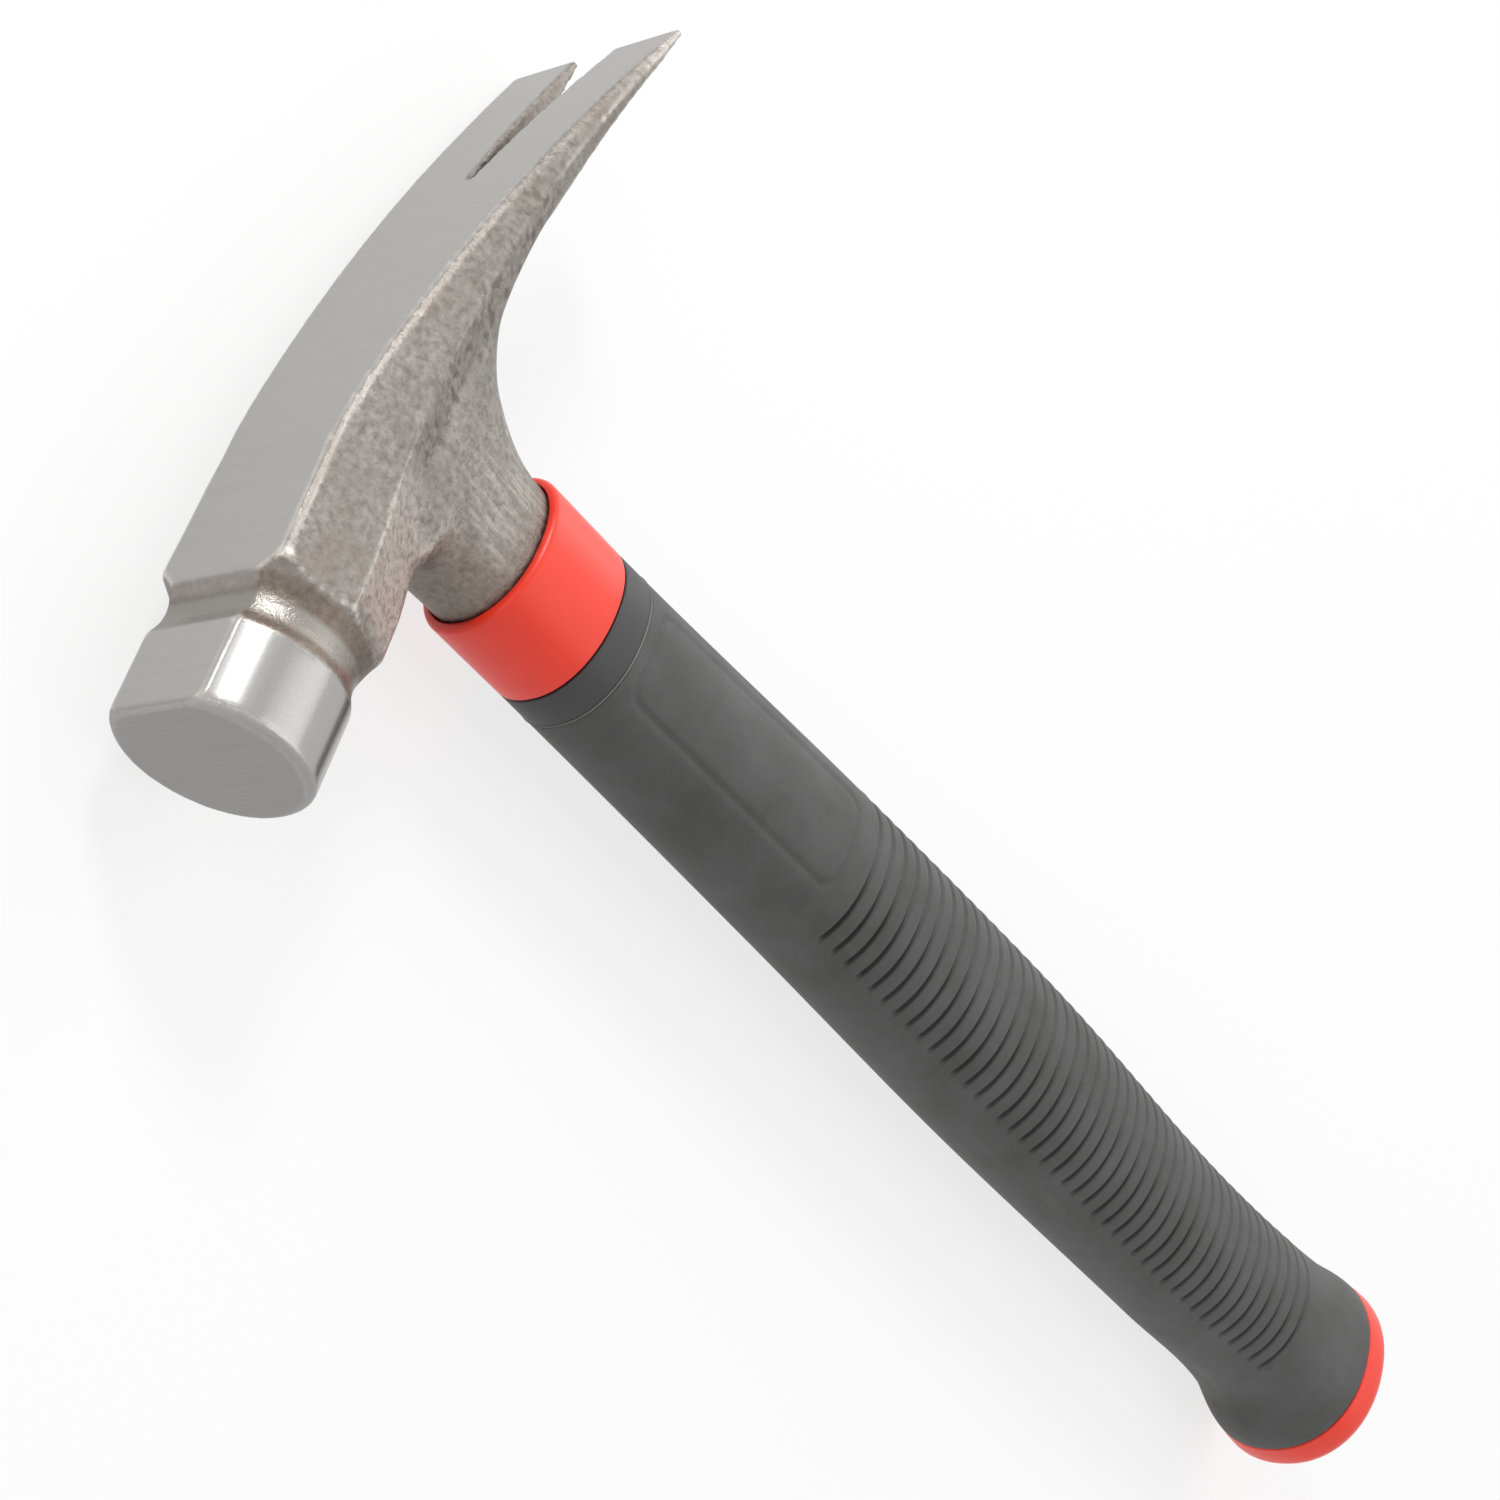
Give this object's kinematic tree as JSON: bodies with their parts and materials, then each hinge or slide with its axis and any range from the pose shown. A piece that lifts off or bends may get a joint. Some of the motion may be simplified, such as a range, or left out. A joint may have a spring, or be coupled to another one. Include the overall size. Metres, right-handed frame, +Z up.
{
  "type": "rip hammer",
  "caption": "Short-necked hammer with a round grooved poll, a broad curved rip claw with a tapered nail slot, an oval neck and a ribbed rubber handle with a coloured collar and end cap.",
  "frame": {"origin": "on the surface under the hammer, below the middle of its box, with the hammer laid on its side", "axes": "+X along the handle from the butt to the head, +Y from the claw to the striking face, +Z up, square to the flat of the hammer"},
  "size_m": [0.3046, 0.138, 0.0343],
  "materials": {
    "forged_steel": "forged and blasted cheeks and neck, ground satin top and face, polished poll",
    "tube_steel": "plain drawn steel",
    "core_plastic": "moulded, fine matt",
    "coloured_plastic": "moulded, soft gloss",
    "grip_rubber": "matt moulded rubber with a soft sheen"
  },
  "bodies": {
    "root": {"hammer_head": "forged_steel", "shaft_tube": "tube_steel", "upper_tang_pin": "tube_steel", "lower_tang_pin": "tube_steel", "handle_core": "core_plastic", "collar": "coloured_plastic", "grip": "grip_rubber", "end_cap": "coloured_plastic"}
  },
  "joints": []
}
